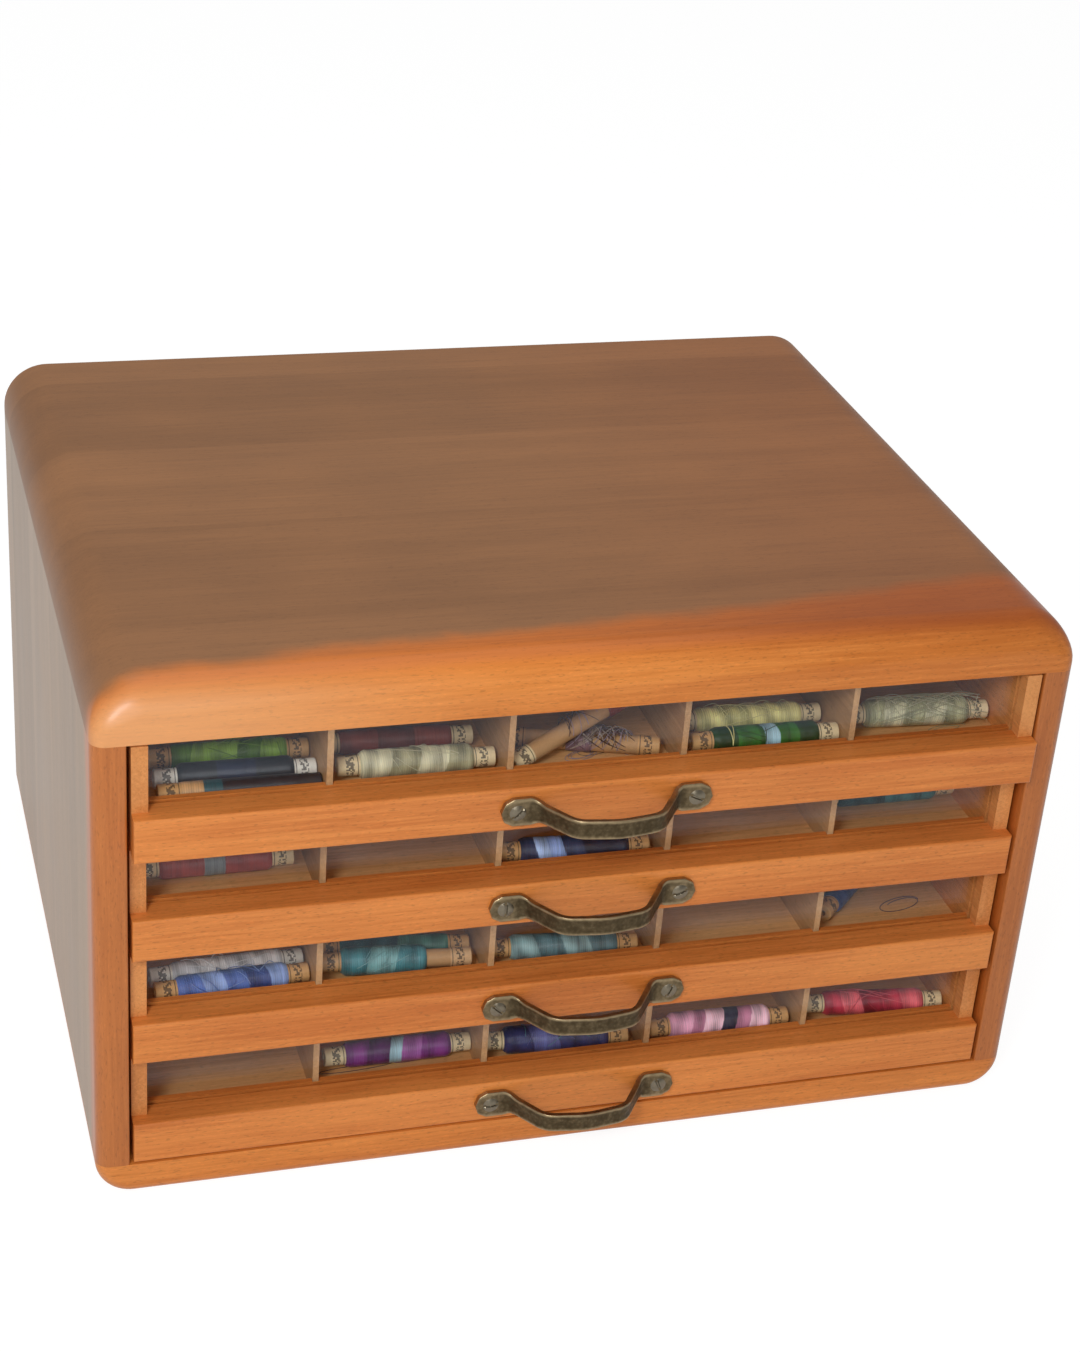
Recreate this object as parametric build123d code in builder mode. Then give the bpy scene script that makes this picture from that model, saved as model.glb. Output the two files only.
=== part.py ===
"""Sewing thread drawer cabinet: a beech tabletop case with four shallow glass-fronted drawers,
each split into five compartments for tube spools of thread, with a cast bow handle per drawer.

Millimetres. +Z is up, the drawers open towards -Y, and the origin is the middle of the case's
underside.
"""

from build123d import *
from math import atan2, cos, degrees, radians, sin
import os

os.makedirs("parts", exist_ok=True)

# ---------------------------------------------------------------- driving dimensions
# Spools of thread, which set how wide a compartment is
spool_length = 60.0
core_radius = 3.8
label_length = 8.5
winding_play = 0.05
spool_rest_gap = 0.1
spool_end_play = 6.0
lean_gap = 1.0

# Drawers
drawer_count = 4
compartment_count = 5
divider_thickness = 2.4
drawer_side_thickness = 6.0
drawer_back_thickness = 6.0
rail_height = 18.0
rail_depth = 16.5
rail_lip = 6.0
rail_edge_round = 1.0
window_height = 28.6
drawer_gap = 1.4
drawer_side_gap = 1.5
drawer_end_play = 4.0
drawer_slide_play = 0.2
drawer_engagement = 66.0
top_drawer_opened = 6.0
floor_thickness = 3.0
floor_height = 8.0
floor_groove = 3.0
glass_thickness = 2.0
glass_setback = 11.8
glass_groove = 3.0
glass_play = 0.15
glass_below_side = 0.5
divider_below_side = 2.5
back_below_side = 3.0
joint_play = 0.1

# Case
case_depth = 300.0
case_side_thickness = 12.7
top_thickness = 22.0
bottom_thickness = 15.0
top_corner_radius = 19.0
bottom_corner_radius = 14.5
front_roll_radius = 15.0
edge_round = 5.8
opening_ease = 0.8

# Back panel, its rebate and its screws
back_panel_thickness = 5.0
back_panel_recess = 1.0
back_panel_lap = 6.0
panel_screw_radius = 1.2
panel_screw_length = 15.0
panel_screw_head_radius = 2.6
panel_screw_head_height = 1.3
panel_screw_spacing = 178.0

# Runners, let into the case sides
runner_height = 6.0
runner_reach = 7.2
runner_housing = 3.0
runner_lead = 2.0

# Dowels between the boards
dowel_radius = 3.0
dowel_depth = 9.0
dowel_inset = 60.0
dowel_play = 0.1

# Handles
handle_screw_spacing = 70.0
handle_plate_height = 11.6
handle_plate_end = 6.2
handle_point_length = 4.6
handle_cheek_length = 1.2
handle_cheek_height = 7.8
handle_band_height = 7.7
handle_thickness = 2.4
handle_reach = 20.5
handle_foot = 27.5
handle_shoulder = 16.5
handle_shoulder_reach = 16.8
handle_foot_bend = 5.0
handle_shoulder_bend = 9.0
handle_grip_bend = 32.0
handle_neck = 5.5
handle_screw_radius = 1.5
handle_screw_head_radius = 3.2
handle_screw_head_rise = 0.4
handle_screw_head_angle = 90.0
handle_screw_length = 14.0
screw_play = 0.05

# ---------------------------------------------------------------- sizes that follow
compartment_width = spool_length + spool_end_play
divider_pitch = compartment_width + divider_thickness
drawer_inner_width = compartment_count * compartment_width + (compartment_count - 1) * divider_thickness
drawer_width = drawer_inner_width + 2 * drawer_side_thickness
opening_width = drawer_width + 2 * drawer_side_gap
case_width = opening_width + 2 * case_side_thickness

drawer_pitch = rail_height + window_height
drawer_height = drawer_pitch - drawer_gap
opening_height = drawer_count * drawer_pitch
opening_top = bottom_thickness + opening_height
case_height = opening_top + top_thickness

case_front = -case_depth / 2
case_back = case_depth / 2
panel_outside = case_back - back_panel_recess
panel_inside = panel_outside - back_panel_thickness
drawer_length = panel_inside - drawer_end_play - case_front
drawer_travel = drawer_length - drawer_engagement
drawer_floors = [bottom_thickness + drawer_gap / 2 + drawer_pitch * i for i in range(drawer_count)]

side_bottom = runner_height + drawer_slide_play
floor_top = floor_height + floor_thickness
glass_foot = rail_height - glass_groove
glass_back = glass_setback + glass_thickness
divider_front = glass_back + glass_play
compartment_back = drawer_length - drawer_back_thickness


def box(x, y, z, mode=Mode.ADD):
    """A box in a part, given by its (low, high) pair along each axis."""
    with Locations(((x[0] + x[1]) / 2, (y[0] + y[1]) / 2, (z[0] + z[1]) / 2)):
        Box(x[1] - x[0], y[1] - y[0], z[1] - z[0], mode=mode)


def drill(place, direction, radius, depth):
    """A blind round hole in a part, from a point along a direction."""
    with Locations(Plane(origin=place, z_dir=[-d for d in direction])):
        Hole(radius, depth)


def finish(part, label):
    """Labels a finished piece and writes its file."""
    part.label = label
    export_step(part, f"parts/{label}.step")


# ---------------------------------------------------------------- the case's outer form
# The boards are planed together after gluing, so each is cut from this one rounded form.
with BuildPart() as case_form:
    with BuildSketch(Plane.XZ.offset(-case_front)) as outline:
        with Locations((0, case_height / 2)):
            Rectangle(case_width, case_height)
        fillet(outline.vertices().group_by(Axis.Y)[-1], top_corner_radius)
        fillet(outline.vertices().group_by(Axis.Y)[0], bottom_corner_radius)
    extrude(amount=-case_depth)
    front_face = case_form.faces().filter_by(Axis.Y).sort_by(Axis.Y)[0]
    fillet(front_face.outer_wire().edges(), edge_round)
    with BuildSketch(Plane.YZ.offset(-case_width / 2)) as roll:
        with Locations((0, case_height / 2)):
            Rectangle(case_depth, case_height)
        front_top = roll.vertices().sort_by(Axis.Y)[-2:].sort_by(Axis.X)[0]
        fillet(front_top, front_roll_radius)
    extrude(amount=case_width, mode=Mode.INTERSECT)

dowel_x = (case_width - case_side_thickness) / 2
dowel_y = case_depth / 2 - dowel_inset
board_seams = (bottom_thickness, opening_top)
dowel_spots = [(x, y, z) for x in (-dowel_x, dowel_x) for y in (-dowel_y, dowel_y) for z in board_seams]
rebate_x = opening_width / 2 + back_panel_lap
rebate_z = (bottom_thickness - back_panel_lap, opening_top + back_panel_lap)
rebate_y = (panel_inside, case_back)
screw_x = (opening_width + back_panel_lap) / 2
screw_z = (bottom_thickness - back_panel_lap / 2, opening_top + back_panel_lap / 2)
screw_spots = [(x, z) for x in (-panel_screw_spacing / 2, panel_screw_spacing / 2) for z in screw_z]
between_runners = drawer_floors[drawer_count // 2] - (drawer_pitch - runner_height) / 2
screw_spots += [(x, between_runners) for x in (-screw_x, screw_x)]


def board_holes(z_low, z_high):
    """Blind holes for the dowels and screws that enter a board between two heights."""
    for x, y, z in dowel_spots:
        if z == z_low:
            drill((x, y, z), (0, 0, 1), dowel_radius + dowel_play, dowel_depth)
        elif z == z_high:
            drill((x, y, z), (0, 0, -1), dowel_radius + dowel_play, dowel_depth)
    for x, z in screw_spots:
        if z_low < z < z_high:
            depth = panel_screw_length - back_panel_thickness
            drill((x, panel_inside, z), (0, -1, 0), panel_screw_radius + screw_play, depth)


def cross_board(z_low, z_high):
    """A full-width board of the case, rebated at the back for the panel."""
    box((-case_width / 2, case_width / 2), (case_front, case_back), (z_low, z_high))
    add(case_form.part, mode=Mode.INTERSECT)
    box((-rebate_x, rebate_x), rebate_y, rebate_z, Mode.SUBTRACT)
    board_holes(z_low, z_high)


with BuildPart() as top_board:
    cross_board(opening_top, case_height)
finish(top_board.part, "top_board")

with BuildPart() as bottom_board:
    cross_board(0, bottom_thickness)
finish(bottom_board.part, "bottom_board")

# ---------------------------------------------------------------- case sides and their runners
runner_y = (case_front + rail_depth + joint_play, panel_inside)


def case_side(side):
    """A side board of the case: side is -1 for the left and 1 for the right."""
    outer, inner = side * case_width / 2, side * opening_width / 2
    x = (min(outer, inner), max(outer, inner))
    box(x, (case_front, case_back), (bottom_thickness, opening_top))
    add(case_form.part, mode=Mode.INTERSECT)
    front_edges = faces().sort_by(Axis.Y)[0].edges().filter_by(Axis.Z)
    fillet(front_edges.sort_by(Axis.X)[0 if side > 0 else -1], opening_ease)
    box((-rebate_x, rebate_x), rebate_y, rebate_z, Mode.SUBTRACT)
    for z in drawer_floors:
        housing = opening_width / 2 + runner_housing + joint_play
        box((-housing, housing), runner_y, (z, z + runner_height), Mode.SUBTRACT)
    board_holes(bottom_thickness, opening_top)


with BuildPart() as left_side:
    case_side(-1)
finish(left_side.part, "left_side")

with BuildPart() as right_side:
    case_side(1)
finish(right_side.part, "right_side")

for number, z in enumerate(reversed(drawer_floors), start=1):
    with BuildPart() as runners:
        outside = opening_width / 2 + runner_housing
        inside = opening_width / 2 - runner_reach
        for side in (-1, 1):
            x = (min(side * outside, side * inside), max(side * outside, side * inside))
            box(x, runner_y, (z, z + runner_height))
        noses = runners.edges().filter_by(Axis.X).group_by(Axis.Y)[0].group_by(Axis.Z)[-1]
        chamfer(noses, runner_lead)
    finish(runners.part, f"drawer_{number}_runners")

with BuildPart() as dowels:
    for x, y, z in dowel_spots:
        with BuildSketch(Plane.XY.offset(z - dowel_depth)):
            with Locations((x, y)):
                Circle(dowel_radius)
        extrude(amount=2 * dowel_depth)
finish(dowels.part, "case_dowels")

# ---------------------------------------------------------------- back panel
with BuildPart() as back_panel:
    panel_x = rebate_x - joint_play
    panel_z = (rebate_z[0] + joint_play, rebate_z[1] - joint_play)
    box((-panel_x, panel_x), (panel_inside, panel_outside), panel_z)
    for x, z in screw_spots:
        drill((x, panel_outside, z), (0, -1, 0), panel_screw_radius + screw_play, back_panel_thickness)
finish(back_panel.part, "back_panel")

with BuildPart() as panel_screws:
    for x, z in screw_spots:
        with BuildSketch(Plane(origin=(x, panel_outside, z), z_dir=(0, 1, 0))):
            Circle(panel_screw_head_radius)
        extrude(amount=panel_screw_head_height)
        with BuildSketch(Plane(origin=(x, panel_outside, z), z_dir=(0, -1, 0))):
            Circle(panel_screw_radius)
        extrude(amount=panel_screw_length)
finish(panel_screws.part, "back_panel_screws")


# ---------------------------------------------------------------- drawer pieces
# Each piece is drawn in its drawer's own frame: the origin is the middle of the foot of the front
# rail's face, and +Y runs towards the back.
half_inner = drawer_inner_width / 2
half_outer = drawer_width / 2
seat = (side_bottom, drawer_height)
groove_x = half_inner + floor_groove
glass_slot = (glass_setback - glass_play, glass_back + glass_play)
floor_slot = (floor_height - joint_play / 2, floor_top + joint_play / 2)
floor_front = rail_depth - floor_groove


def front_rail():
    """The low front bar: rebated at its ends for the sides, grooved for the glass and the floor."""
    box((-half_outer, half_outer), (0, rail_depth), (0, rail_height))
    face = faces().sort_by(Axis.Y)[0]
    fillet(face.edges(), rail_edge_round)
    for x in ((-half_outer, -half_inner), (half_inner, half_outer)):
        box(x, (rail_lip, rail_depth), (side_bottom, rail_height), Mode.SUBTRACT)
    box((-half_inner, half_inner), glass_slot, (glass_foot, rail_height), Mode.SUBTRACT)
    slot_y = (floor_front - joint_play, rail_depth)
    box((-half_inner, half_inner), slot_y, floor_slot, Mode.SUBTRACT)
    for x in (-handle_screw_spacing / 2, handle_screw_spacing / 2):
        depth = handle_screw_length - handle_thickness + screw_play
        drill((x, 0, rail_height / 2), (0, 1, 0), handle_screw_radius + screw_play, depth)


def drawer_side(side):
    """A side of a drawer, with its grooves for the glass and floor and its rebate for the back."""
    x = (min(side * half_inner, side * half_outer), max(side * half_inner, side * half_outer))
    box(x, (rail_lip, drawer_length), seat)
    groove = (-groove_x - joint_play, groove_x + joint_play)
    box(groove, glass_slot, (glass_foot, drawer_height), Mode.SUBTRACT)
    box(groove, (floor_front - joint_play, drawer_length), floor_slot, Mode.SUBTRACT)
    box(groove, (compartment_back, drawer_length), (floor_height, drawer_height), Mode.SUBTRACT)


def drawer_back():
    """The back board, standing on the floor in the rebates of the two sides."""
    box((-groove_x, groove_x), (compartment_back, drawer_length),
        (floor_top + joint_play, drawer_height - back_below_side))


def drawer_floor():
    """The bottom panel, held in the grooves of the rail and the sides."""
    box((-groove_x, groove_x), (floor_front, drawer_length), (floor_height, floor_top))


def drawer_glass():
    """The pane in front of the compartments."""
    box((-groove_x, groove_x), (glass_setback, glass_back),
        (glass_foot + joint_play, drawer_height - glass_below_side))


def drawer_dividers():
    """The thin boards between compartments, notched over the rail behind the glass."""
    top = drawer_height - divider_below_side
    for i in range(1, compartment_count):
        x = -half_inner + i * divider_pitch - divider_thickness
        box((x, x + divider_thickness), (divider_front, compartment_back), (floor_top, top))
        notch_y = (divider_front, rail_depth + joint_play)
        box((x, x + divider_thickness), notch_y, (floor_top, rail_height + joint_play), Mode.SUBTRACT)


# ---------------------------------------------------------------- bow handle
# A flat bar bent outwards in one bow. Its path is lines and tangent arcs in plan, and the front
# view then cuts it to a narrow grip between two pointed plates with countersunk holes.
plate_half = (handle_screw_spacing / 2) + handle_plate_end
neck_start = handle_foot + handle_foot_bend / 2
neck_end = neck_start - handle_neck
centre_line = handle_thickness / 2

with BuildPart() as handle:
    with BuildLine(Plane.XY) as bow:
        left = [(-plate_half, -centre_line), (-handle_foot, -centre_line),
                (-handle_shoulder, -handle_shoulder_reach), (0, centre_line - handle_reach)]
        right = [(-x, y) for x, y in reversed(left[:-1])]
        bends = [handle_foot_bend, handle_shoulder_bend, handle_grip_bend,
                 handle_shoulder_bend, handle_foot_bend]
        FilletPolyline(*left, *right, radius=bends)
    with BuildSketch(Plane(origin=(-plate_half, -centre_line, 0), z_dir=(1, 0, 0), x_dir=(0, 1, 0))):
        Rectangle(handle_thickness, handle_plate_height)
    sweep(path=bow.line)
    with BuildSketch(Plane.XZ.offset(-handle_thickness)) as front_view:
        with BuildLine():
            plate_corner = plate_half - handle_point_length
            quarter = [(neck_end, handle_band_height / 2), (neck_start, handle_plate_height / 2),
                       (plate_corner, handle_plate_height / 2),
                       (plate_half - handle_cheek_length, handle_cheek_height / 2), (plate_half, 0)]
            upper = [(-x, z) for x, z in reversed(quarter)] + quarter
            Polyline(*upper, *[(x, -z) for x, z in reversed(upper[1:-1])], close=True)
        make_face()
        neck_corners = [v for v in front_view.vertices() if abs(v.X) < plate_corner - handle_cheek_length]
        fillet(neck_corners, handle_neck)
    extrude(amount=handle_reach + 2 * handle_thickness, mode=Mode.INTERSECT)
    for x in (-handle_screw_spacing / 2, handle_screw_spacing / 2):
        with Locations(Plane(origin=(x, -handle_thickness, 0), z_dir=(0, -1, 0))):
            CounterSinkHole(handle_screw_radius + screw_play, handle_screw_head_radius + screw_play,
                            depth=handle_thickness, counter_sink_angle=handle_screw_head_angle)

# Its screws: a countersunk head and a plain shank, along +Y from the plate's face.
with BuildPart() as handle_screw:
    with BuildSketch(Plane.XY) as screw_half:
        with BuildLine():
            head_depth = handle_screw_head_radius - handle_screw_radius
            Polyline((0, handle_screw_length), (handle_screw_radius, handle_screw_length),
                     (handle_screw_radius, head_depth), (handle_screw_head_radius, 0),
                     (handle_screw_head_radius, -handle_screw_head_rise),
                     (0, -handle_screw_head_rise), close=True)
        make_face()
    revolve(axis=Axis.Y)


# ---------------------------------------------------------------- spools
# A spool is a tube core with paper-covered ends. Its thread is one sleeve, from a start to an end
# along the core, and as thick as what is left on it.
bare, thin, half_wound, most, full = 0.3, 0.7, 1.0, 1.4, 1.9
wound = (label_length, spool_length - label_length)


def sleeve(thickness, span):
    """The thread on one spool, lying along X with the spool's middle at the origin."""
    with BuildPart() as thread:
        with BuildSketch(Plane.YZ.offset(span[0] - spool_length / 2)):
            Circle(core_radius + thickness)
            Circle(core_radius + winding_play, mode=Mode.SUBTRACT)
        extrude(amount=span[1] - span[0])
    return thread.part


with BuildPart() as spool_core:
    with BuildSketch(Plane.YZ.offset(-spool_length / 2)):
        Circle(core_radius)
    extrude(amount=spool_length)


def spool_row(compartment, turn, spools):
    """Places for a row of spools lying one behind another, as (location, thread sleeve) pairs.

    Each spool is given by its gap to what lies in front of it, its shift from the compartment's
    middle, its thread's thickness, and the thread's start and end along the core. A row is turned
    by the same few degrees.
    """
    middle = -half_inner + compartment * divider_pitch + compartment_width / 2
    y = rail_depth + sin(radians(abs(turn))) * spool_length / 2
    row = []
    for gap, shift, thickness, span in spools:
        radius = core_radius + thickness
        y += (gap + radius) / cos(radians(turn))
        z = floor_top + radius + spool_rest_gap
        row.append((Location((middle + shift, y, z), (0, 0, turn)), sleeve(thickness, span)))
        y += radius / cos(radians(turn))
    return row


def crossed_pair(compartment, lower, lean_turn, lean_length):
    """Two nearly empty spools: one on the floor, the other leaning across its middle.

    The leaning one stands on its front end, which is lean_length from where they cross.
    """
    turn, gap, thickness, lower_span, upper_span = lower
    (place, thread), = spool_row(compartment, turn, [(gap, 0.0, thickness, lower_span)])
    lift = 2 * (core_radius + thickness) + lean_gap
    rise = atan2(lift, (lean_length ** 2 - lift ** 2) ** 0.5)
    along = (spool_length / 2 - lean_length) * cos(rise)
    x = place.position.X + along * cos(radians(lean_turn))
    y = place.position.Y + along * sin(radians(lean_turn))
    z = floor_top + core_radius * cos(rise) + spool_length / 2 * sin(rise) + spool_rest_gap
    leaning = Location((x, y, z), (0, 0, lean_turn)) * Location((0, 0, 0), (0, -degrees(rise), 0))
    return [(place, thread), (leaning, sleeve(thin, upper_span))]


# Per drawer: (compartment, turn of the row, its spools from the glass backwards).
contents = {
    1: [(0, -1.0, [(0.3, 2.5, bare, wound), (1.5, 2.5, thin, wound), (5.3, 2.5, half_wound, wound)]),
        (1, -1.5, [(4.5, 1.4, full, wound), (8.1, -2.5, half_wound, wound)]),
        (3, -1.0, [(2.7, 2.5, most, wound), (5.3, 1.0, most, wound)]),
        (4, -4.0, [(9.2, 1.0, full, wound)])],
    2: [(0, 0.0, [(16.3, -2.5, most, wound)]),
        (2, -4.0, [(0.4, -1.0, most, wound)]),
        (4, 0.0, [(23.0, 2.0, most, wound)])],
    3: [(0, 3.0, [(0.7, 2.2, most, wound), (0.4, 1.8, half_wound, wound)]),
        (1, -6.0, [(1.3, -1.2, full, (label_length, 42.0)), (0.4, 0.5, thin, wound)]),
        (2, -6.0, [(0.3, -1.4, most, wound)]),
        (4, 45.0, [(4.0, -4.0, half_wound, wound)])],
    4: [(1, 0.0, [(9.0, 2.5, most, wound)]),
        (2, -6.0, [(0.4, -1.0, full, wound)]),
        (3, -1.5, [(1.0, 0.5, full, wound)]),
        (4, -7.0, [(0.8, 2.0, most, wound)])],
}
crossed_spools = {1: (2, (-17.0, 5.0, bare, (24.0, 34.0), (44.0, 54.0)), 21.0, 34.0)}


# ---------------------------------------------------------------- the drawers
for number, base in enumerate(reversed(drawer_floors), start=1):
    opened = top_drawer_opened if number == 1 else 0.0
    place = Location((0, case_front - opened, base))

    with BuildPart() as rail:
        front_rail()
    finish(rail.part.moved(place), f"drawer_{number}_front_rail")

    with BuildPart() as glass:
        drawer_glass()
    finish(glass.part.moved(place), f"drawer_{number}_glass")

    with BuildPart() as side_left:
        drawer_side(-1)
    finish(side_left.part.moved(place), f"drawer_{number}_left_side")

    with BuildPart() as side_right:
        drawer_side(1)
    finish(side_right.part.moved(place), f"drawer_{number}_right_side")

    with BuildPart() as back:
        drawer_back()
    finish(back.part.moved(place), f"drawer_{number}_back")

    with BuildPart() as floor:
        drawer_floor()
    finish(floor.part.moved(place), f"drawer_{number}_floor")

    with BuildPart() as dividers:
        drawer_dividers()
    finish(dividers.part.moved(place), f"drawer_{number}_dividers")

    on_rail = Location((0, 0, rail_height / 2))
    finish(handle.part.moved(place * on_rail), f"drawer_{number}_handle")

    with BuildPart() as screws:
        with Locations((-handle_screw_spacing / 2, -handle_thickness, rail_height / 2),
                       (handle_screw_spacing / 2, -handle_thickness, rail_height / 2)):
            add(handle_screw.part)
    finish(screws.part.moved(place), f"drawer_{number}_handle_screws")

    spools = []
    for compartment, turn, row in contents[number]:
        spools += spool_row(compartment, turn, row)
    if number in crossed_spools:
        spools += crossed_pair(*crossed_spools[number])
    with BuildPart() as cores:
        for spot, thread in spools:
            add(spool_core.part.moved(spot))
    finish(cores.part.moved(place), f"drawer_{number}_spool_cores")
    with BuildPart() as threads:
        for spot, thread in spools:
            add(thread.moved(spot))
    finish(threads.part.moved(place), f"drawer_{number}_thread")

print("case", round(case_width, 1), "x", case_depth, "x", round(case_height, 1))
print("drawer travel", round(drawer_travel, 1))
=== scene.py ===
"""Looks of the sewing thread drawer cabinet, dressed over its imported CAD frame.

Metres, +Z up, and the drawers open towards -Y. Each piece takes its place from the frame's boxes.
"""

import math

import bmesh
import bpy
import numpy as np
from mathutils import Matrix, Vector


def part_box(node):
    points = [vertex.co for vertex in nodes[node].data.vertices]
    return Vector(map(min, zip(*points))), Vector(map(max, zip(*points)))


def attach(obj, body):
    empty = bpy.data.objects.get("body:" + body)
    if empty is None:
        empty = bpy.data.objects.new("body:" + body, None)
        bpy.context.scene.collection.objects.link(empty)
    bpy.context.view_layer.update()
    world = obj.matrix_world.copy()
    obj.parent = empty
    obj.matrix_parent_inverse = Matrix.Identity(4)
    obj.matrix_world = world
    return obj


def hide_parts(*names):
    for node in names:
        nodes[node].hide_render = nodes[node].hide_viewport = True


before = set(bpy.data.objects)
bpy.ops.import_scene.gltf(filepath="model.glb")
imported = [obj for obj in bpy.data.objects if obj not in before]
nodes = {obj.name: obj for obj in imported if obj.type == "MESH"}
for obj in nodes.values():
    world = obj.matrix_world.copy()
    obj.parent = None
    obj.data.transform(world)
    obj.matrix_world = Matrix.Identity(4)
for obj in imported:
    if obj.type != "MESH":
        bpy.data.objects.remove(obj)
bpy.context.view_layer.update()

mm = 0.001

# ---------------------------------------------------------------------------- case boards
# The top and bottom boards lie across the two side boards, glued and dowelled, and the case was
# rounded over when it was whole: large corners, a soft front roll along the top, and small rounds
# at the other front edges. Solid beech, its honey lacquer gone dull on the top, with a painted pale
# reflection over that dull top and the left side, a painted sheen at the top's left end, and painted
# shade towards its right.
corner_top = 19 * mm
corner_bottom = 14.5 * mm
roll = 15 * mm
edge_round = 5.8 * mm
opening_ease = 0.8 * mm
rear_ease = 0.5 * mm
support = 0.4 * mm
joint_play = 0.1 * mm
weld = 0.002 * mm
arc_steps = 15

case_low, case_high = (np.array(corner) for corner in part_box("top_board"))
case_front, case_back = case_low[1], case_high[1]
seam_top = case_low[2]
seam_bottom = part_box("bottom_board")[1].z
opening_half = -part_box("left_side")[1].x
panel_low, panel_high = (np.array(corner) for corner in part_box("back_panel"))
rebate_half = panel_high[0] + joint_play
rebate_up = panel_high[2] + joint_play - seam_top


def shell(grid, wrap=None, tint=None, capped=False):
    """Points, faces, UVs and colours of one grid of points, rows by columns. Quads join each point
    to the next of its row and of the next row. Capped ends get one flat face each."""
    rows, columns = grid.shape[:2]
    index = np.arange(rows * columns).reshape(rows, columns)
    corners = (index[:-1, :-1], index[:-1, 1:], index[1:, 1:], index[1:, :-1])
    faces = np.stack(corners, -1).reshape(-1, 4).tolist()
    if capped:
        faces += [index[0, :-1].tolist()[::-1], index[-1, :-1].tolist()]
    if wrap is None:
        wrap = np.zeros((rows, columns, 2))
    if tint is None:
        tint = np.ones((rows, columns, 4))
    return grid.reshape(-1, 3), faces, wrap.reshape(-1, 2), tint.reshape(-1, 4)


def piece(name, shells, body, material, stands_for, sharp=35):
    """One finished piece from shells: joined, its doubles merged, its faces turned outwards, its
    flat edges kept sharp. It rides on a body and stands for CAD nodes."""
    points, faces, wraps, tints = [], [], [], []
    start = 0
    for shell_points, shell_faces, wrap, tint in shells:
        points.append(shell_points)
        faces += [[corner + start for corner in face] for face in shell_faces]
        wraps.append(wrap)
        tints.append(tint)
        start += len(shell_points)
    mesh = bpy.data.meshes.new(name)
    mesh.from_pydata(np.vstack(points), [], faces)
    corners = np.empty(len(mesh.loops), int)
    mesh.loops.foreach_get("vertex_index", corners)
    mesh.uv_layers.new(name="wrap").data.foreach_set("uv", np.vstack(wraps)[corners].ravel())
    mesh.attributes.new("tint", "FLOAT_COLOR", "POINT").data.foreach_set("color", np.vstack(tints).ravel())
    whole = bmesh.new()
    whole.from_mesh(mesh)
    bmesh.ops.remove_doubles(whole, verts=whole.verts, dist=weld)
    bmesh.ops.recalc_face_normals(whole, faces=whole.faces)
    whole.to_mesh(mesh)
    whole.free()
    mesh.shade_smooth()
    mesh.set_sharp_from_angle(angle=math.radians(sharp))
    mesh.materials.append(material)
    made = bpy.data.objects.new(name, mesh)
    bpy.context.scene.collection.objects.link(made)
    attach(made, body)
    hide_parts(*stands_for)


class Wire:
    """A shader socket whose Python operators add Math nodes to its finish."""

    def __init__(self, finish, socket):
        self.finish = finish
        self.socket = socket

    def __add__(self, other):
        return self.finish.math("ADD", self, other)

    def __sub__(self, other):
        return self.finish.math("SUBTRACT", self, other)

    def __rsub__(self, other):
        return self.finish.math("SUBTRACT", other, self)

    def __mul__(self, other):
        return self.finish.math("MULTIPLY", self, other)

    __radd__ = __add__
    __rmul__ = __mul__


class Finish:
    """One procedural material: its nodes, and the Principled shader that they feed."""

    def __init__(self, name, constants):
        self.material = bpy.data.materials.new(name)
        self.material.use_nodes = True
        self.tree = self.material.node_tree
        self.principled = self.tree.nodes["Principled BSDF"]
        for socket, value in constants.items():
            self.principled.inputs[socket].default_value = value

    def node(self, kind, settings, sockets, output=0):
        """A node of any type: its settings first, then the values or links of its sockets."""
        made = self.tree.nodes.new(kind)
        for name, value in settings.items():
            setattr(made, name, value)
        for name, value in sockets.items():
            if isinstance(value, Wire):
                self.tree.links.new(value.socket, made.inputs[name])
            else:
                made.inputs[name].default_value = value
        return Wire(self, made.outputs[output])

    def math(self, operation, first, second=0.0):
        return self.node("ShaderNodeMath", {"operation": operation}, {0: first, 1: second})

    def place(self, stretch=(1, 1, 1), shift=(0, 0, 0)):
        """The piece's own coordinates, moved and then stretched along each axis."""
        own = self.node("ShaderNodeTexCoord", {}, {}, "Object")
        moved = self.node("ShaderNodeVectorMath", {"operation": "ADD"}, {0: own, 1: shift})
        return self.node("ShaderNodeVectorMath", {"operation": "MULTIPLY"}, {0: moved, 1: stretch})

    def noise(self, place, scale, detail=2, roughness=0.5, distortion=0.0):
        sockets = {"Vector": place, "Scale": scale, "Detail": detail, "Roughness": roughness,
                   "Distortion": distortion}
        return self.node("ShaderNodeTexNoise", {}, sockets)

    def between(self, value, low, high):
        """0 below low, 1 above high, and a smooth step between."""
        sockets = {"Value": value, "From Min": low, "From Max": high}
        return self.node("ShaderNodeMapRange", {"interpolation_type": "SMOOTHSTEP"}, sockets)

    def mix(self, factor, first, second):
        """A colour between two: first where the factor is 0, second where it is 1."""
        return self.node("ShaderNodeMix", {"data_type": "RGBA"}, {0: factor, 6: first, 7: second}, 2)

    def shade(self, colour, factor):
        """A colour made darker or lighter by a factor that varies."""
        value = colour if isinstance(colour, Wire) else colour[:3]
        return self.node("ShaderNodeVectorMath", {"operation": "SCALE"}, {0: value, "Scale": factor})

    def bump(self, height, strength, distance):
        sockets = {"Strength": strength, "Distance": distance, "Height": height}
        self.feed("Normal", self.node("ShaderNodeBump", {}, sockets))

    def feed(self, socket, wire):
        self.tree.links.new(wire.socket, self.principled.inputs[socket])


def colour(red, green, blue):
    """A shader colour from the three values, 0 to 255, that a screen shows it with."""
    share = np.array([red, green, blue]) / 255
    linear = np.where(share > 0.04045, ((share + 0.055) / 1.055) ** 2.4, share / 12.92)
    return (*linear.tolist(), 1.0)


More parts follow.
